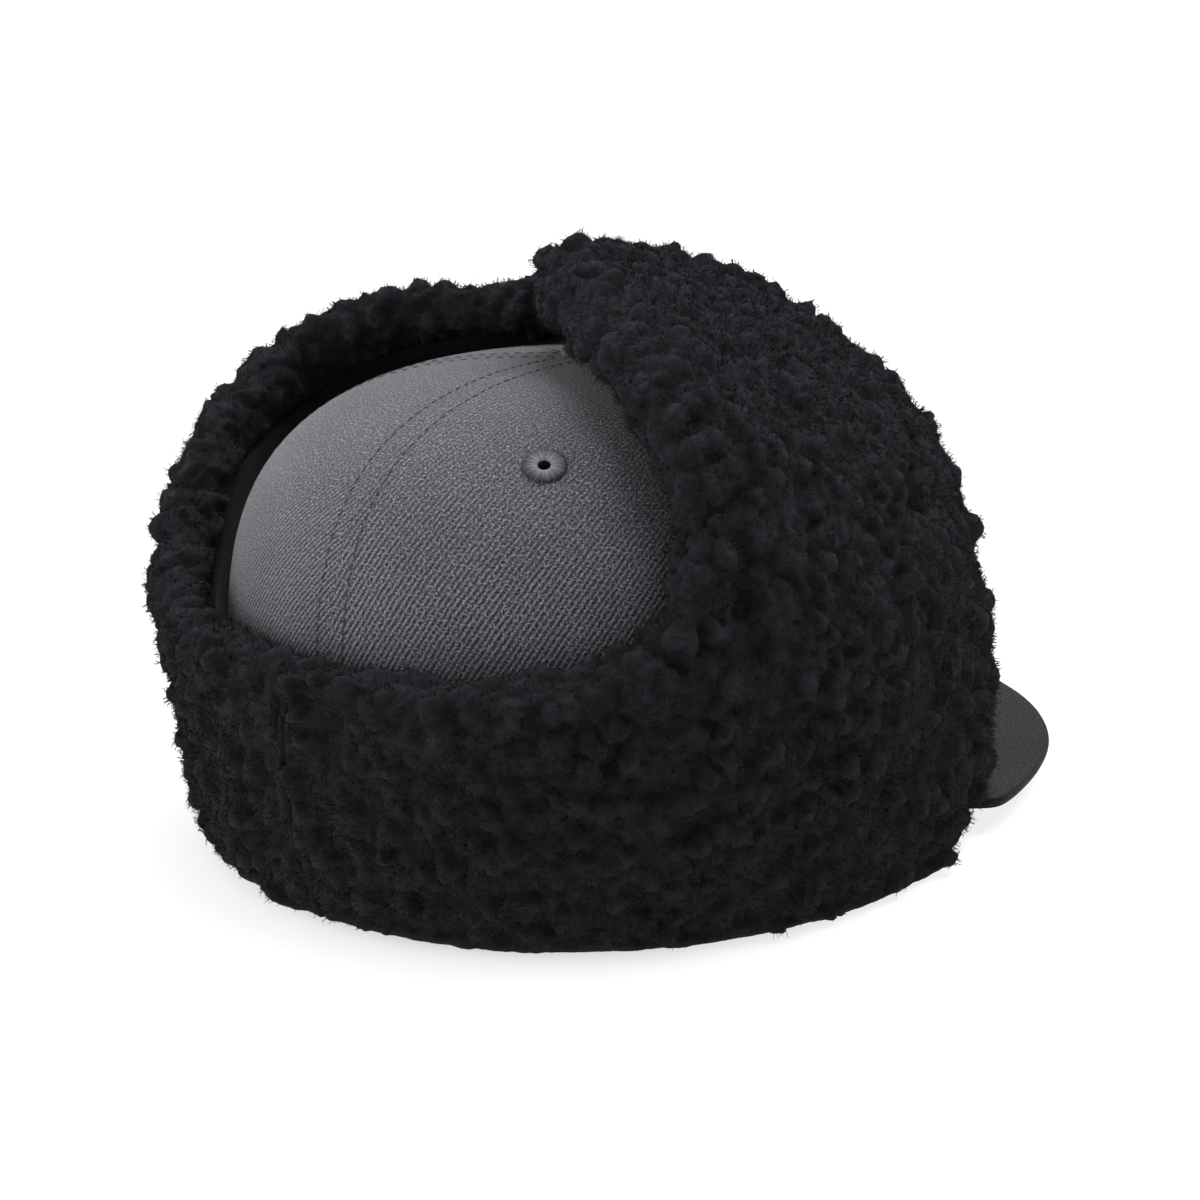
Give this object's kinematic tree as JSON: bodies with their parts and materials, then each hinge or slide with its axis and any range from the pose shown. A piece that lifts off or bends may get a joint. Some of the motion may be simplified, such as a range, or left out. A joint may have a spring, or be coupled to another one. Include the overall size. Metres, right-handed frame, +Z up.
{
  "type": "fitted baseball cap with ear flaps",
  "caption": "Fitted baseball cap with a twill crown, a flat peak and curly fleece ear flaps folded up round the crown and over its top.",
  "frame": {"origin": "on the surface that the cap rests on, in the middle of the crown's rim", "axes": "+Z up through the crown, -Y towards the peak, +X towards the wearer's left"},
  "size_m": [0.2146, 0.2772, 0.1545],
  "materials": {
    "crown_twill": "grey wool twill with fine diagonal wales and a heathered surface",
    "eyelet_thread": "wound embroidery thread",
    "peak_cloth": "dark grey twill over a stiff board",
    "curly_fleece": "black curly pile, matt",
    "facing_cloth": "smooth dark cloth, matt"
  },
  "bodies": {
    "root": {"crown_panel_back_right": "crown_twill", "crown_panel_side_right": "crown_twill", "crown_panel_front_right": "crown_twill", "crown_panel_front_left": "crown_twill", "crown_panel_side_left": "crown_twill", "crown_panel_back_left": "crown_twill", "eyelet_back_right": "eyelet_thread", "top_button": "crown_twill", "peak": "peak_cloth", "flap_fleece_right": "curly_fleece", "flap_facing_right": "facing_cloth", "flap_fleece_left": "curly_fleece", "flap_facing_left": "facing_cloth"}
  },
  "joints": []
}
